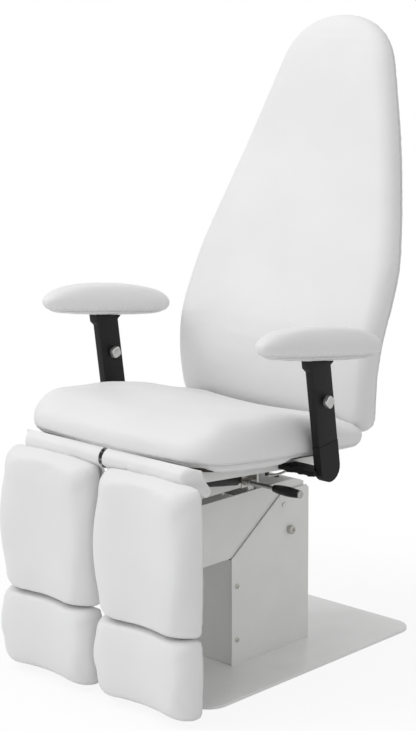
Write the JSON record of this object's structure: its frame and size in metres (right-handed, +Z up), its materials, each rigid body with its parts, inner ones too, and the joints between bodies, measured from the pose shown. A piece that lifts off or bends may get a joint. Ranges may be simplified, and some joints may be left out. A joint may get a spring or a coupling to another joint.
{
  "type": "pedicure spa chair",
  "caption": "Upholstered pedicure and podiatry chair on a lifting pedestal, with reclining back, split leg rests, sliding foot rests and height-adjustable armrests.",
  "frame": {"origin": "middle of the floor plate's underside", "axes": "+Z up, -Y towards the foot rests (the front), +X to the sitter's left hand"},
  "size_m": [0.732, 0.8776, 1.437],
  "materials": {
    "upholstery": "white leatherette, satin",
    "powder_coat": "glossy light grey powder coat",
    "steel": "bare steel, satin",
    "zinc": "zinc plated",
    "black_coat": "matte black powder coat",
    "black_plastic": "satin black",
    "grey_plastic": "silver grey satin",
    "plywood": "raw plywood"
  },
  "bodies": {
    "base": {"base_plate": "powder_coat", "pedestal_housing": "powder_coat", "pedestal_front_panel": "powder_coat", "lift_tower": "powder_coat", "arm_axle": "zinc", "actuator_bracket": "steel", "housing_plug_left": "powder_coat", "housing_plug_right": "powder_coat", "housing_screw_left_lower": "steel", "housing_screw_left_upper": "steel", "housing_screw_right_lower": "steel", "housing_screw_right_upper": "steel"},
    "lift_arm": {"lift_arm": "powder_coat", "arm_plug": "black_plastic", "arm_front_axle": "steel", "arm_actuator_pin": "steel"},
    "level_link": {"level_link": "steel"},
    "actuator": {"actuator_body": "black_plastic", "actuator_motor": "steel"},
    "actuator_rod": {"actuator_rod": "steel"},
    "seat": {"seat_carrier": "powder_coat", "seat_frame": "black_coat", "seat_board": "plywood", "seat_cushion": "upholstery", "leg_hinge_shaft": "steel", "back_hinge_shaft": "steel", "release_cable": "zinc", "armrest_bracket_left": "black_coat", "spring_bracket_left": "zinc", "leg_flap_left": "upholstery", "armrest_bracket_right": "black_coat", "spring_bracket_right": "zinc", "leg_flap_right": "upholstery"},
    "back": {"back_cushion": "upholstery", "back_frame": "black_coat"},
    "back_spring": {"back_spring_cylinder": "black_plastic"},
    "back_spring_rod": {"back_spring_rod": "steel"},
    "leg_left": {"leg_frame_left": "black_coat", "calf_cushion_left": "upholstery"},
    "foot_left": {"foot_slide_left": "black_coat", "foot_cushion_left": "upholstery"},
    "leg_spring_left": {"leg_spring_cylinder_left": "black_plastic"},
    "leg_spring_rod_left": {"leg_spring_rod_left": "steel"},
    "armrest_left": {"armrest_sleeve_left": "black_coat", "armrest_pad_left": "upholstery"},
    "knob_left": {"armrest_knob_left": "grey_plastic"},
    "lever_left": {"release_lever_left": "steel", "lever_grip_left": "black_plastic"},
    "leg_right": {"leg_frame_right": "black_coat", "calf_cushion_right": "upholstery"},
    "foot_right": {"foot_slide_right": "black_coat", "foot_cushion_right": "upholstery"},
    "leg_spring_right": {"leg_spring_cylinder_right": "black_plastic"},
    "leg_spring_rod_right": {"leg_spring_rod_right": "steel"},
    "armrest_right": {"armrest_sleeve_right": "black_coat", "armrest_pad_right": "upholstery"},
    "knob_right": {"armrest_knob_right": "grey_plastic"},
    "lever_right": {"release_lever_right": "steel", "lever_grip_right": "black_plastic"}
  },
  "joints": [
    {"name": "lift", "type": "hinge", "parent": "base", "child": "lift_arm", "pos_m": [0, 0.0585, 0.277], "axis": [-1, 0, 0], "range_deg": [0, 40]},
    {"name": "link_turn", "type": "hinge", "parent": "base", "child": "level_link", "pos_m": [0, 0.0385, 0.3385], "axis": [-1, 0, 0], "range_deg": [0, 40]},
    {"name": "seat_level", "type": "hinge", "parent": "lift_arm", "child": "seat", "pos_m": [0, -0.255, 0.3], "axis": [-1, 0, 0], "range_deg": [-40, 0]},
    {"name": "actuator_tilt", "type": "hinge", "parent": "base", "child": "actuator", "pos_m": [0, -0.092, 0.062], "axis": [-1, 0, 0], "range_deg": [-0.5, 3.84]},
    {"name": "actuator_stroke", "type": "slide", "parent": "actuator", "child": "actuator_rod", "axis": [0, 0.142, 0.9899], "range_m": [-0.001, 0.08001]},
    {"name": "back_recline", "type": "hinge", "parent": "seat", "child": "back", "pos_m": [0, 0.112, 0.47], "axis": [-1, 0, 0], "range_deg": [0, 65]},
    {"name": "back_spring_tilt", "type": "hinge", "parent": "seat", "child": "back_spring", "pos_m": [0, -0.06, 0.428], "axis": [-1, 0, 0], "range_deg": [-0.5, 0.78]},
    {"name": "back_spring_stroke", "type": "slide", "parent": "back_spring", "child": "back_spring_rod", "axis": [0, 0.9993, 0.0385], "range_m": [-0.04419, 0.001]},
    {"name": "leg_left_raise", "type": "hinge", "parent": "seat", "child": "leg_left", "pos_m": [-0.15, -0.404, 0.514], "axis": [-1, 0, 0], "range_deg": [0, 80], "deforming": ["leg_flap_left"]},
    {"name": "foot_left_slide", "type": "slide", "parent": "leg_left", "child": "foot_left", "axis": [0, 0, -1], "range_m": [0, 0.12]},
    {"name": "leg_left_spring_tilt", "type": "hinge", "parent": "seat", "child": "leg_spring_left", "pos_m": [-0.125, -0.12, 0.432], "axis": [-1, 0, 0], "range_deg": [-0.66, 0.5]},
    {"name": "leg_left_spring_stroke", "type": "slide", "parent": "leg_spring_left", "child": "leg_spring_rod_left", "axis": [0, -0.9877, 0.1567], "range_m": [-0.001, 0.05875]},
    {"name": "armrest_left_height", "type": "slide", "parent": "seat", "child": "armrest_left", "axis": [0, -0.1444, 0.9895], "range_m": [-0.02, 0.06]},
    {"name": "knob_left_turn", "type": "hinge", "parent": "armrest_left", "child": "knob_left", "pos_m": [-0.312, -0.08456, 0.65151], "axis": [1, 0, 0], "range_deg": [0, 360]},
    {"name": "lever_left_press", "type": "hinge", "parent": "seat", "child": "lever_left", "pos_m": [-0.15, -0.127, 0.432], "axis": [0, 1, 0], "range_deg": [0, 12], "stiffness_Nm_per_rad": 8},
    {"name": "leg_right_raise", "type": "hinge", "parent": "seat", "child": "leg_right", "pos_m": [0.15, -0.404, 0.514], "axis": [-1, 0, 0], "range_deg": [0, 80], "deforming": ["leg_flap_right"]},
    {"name": "foot_right_slide", "type": "slide", "parent": "leg_right", "child": "foot_right", "axis": [0, 0, -1], "range_m": [0, 0.12]},
    {"name": "leg_right_spring_tilt", "type": "hinge", "parent": "seat", "child": "leg_spring_right", "pos_m": [0.125, -0.12, 0.432], "axis": [-1, 0, 0], "range_deg": [-0.66, 0.5]},
    {"name": "leg_right_spring_stroke", "type": "slide", "parent": "leg_spring_right", "child": "leg_spring_rod_right", "axis": [0, -0.9877, 0.1567], "range_m": [-0.001, 0.05875]},
    {"name": "armrest_right_height", "type": "slide", "parent": "seat", "child": "armrest_right", "axis": [0, -0.1444, 0.9895], "range_m": [0, 0.08]},
    {"name": "knob_right_turn", "type": "hinge", "parent": "armrest_right", "child": "knob_right", "pos_m": [0.332, -0.08167, 0.63172], "axis": [1, 0, 0], "range_deg": [0, 360]},
    {"name": "lever_right_press", "type": "hinge", "parent": "seat", "child": "lever_right", "pos_m": [0.15, -0.127, 0.432], "axis": [0, -1, 0], "range_deg": [0, 12], "stiffness_Nm_per_rad": 8}
  ],
  "couplings": [
    {"joint": "link_turn", "follows": "lift", "ratio": 1},
    {"joint": "seat_level", "follows": "lift", "ratio": -1},
    {"joint": "actuator_tilt", "follows": "lift", "ratio": 0.083553},
    {"joint": "actuator_stroke", "follows": "lift", "m_per_rad": 0.11317},
    {"joint": "back_spring_tilt", "follows": "back_recline", "ratio": 0.004331},
    {"joint": "back_spring_stroke", "follows": "back_recline", "m_per_rad": -0.03807},
    {"joint": "leg_left_spring_tilt", "follows": "leg_left_raise", "ratio": -0.00198},
    {"joint": "leg_left_spring_stroke", "follows": "leg_left_raise", "m_per_rad": 0.041358},
    {"joint": "leg_right_spring_tilt", "follows": "leg_right_raise", "ratio": -0.00198},
    {"joint": "leg_right_spring_stroke", "follows": "leg_right_raise", "m_per_rad": 0.041358}
  ]
}
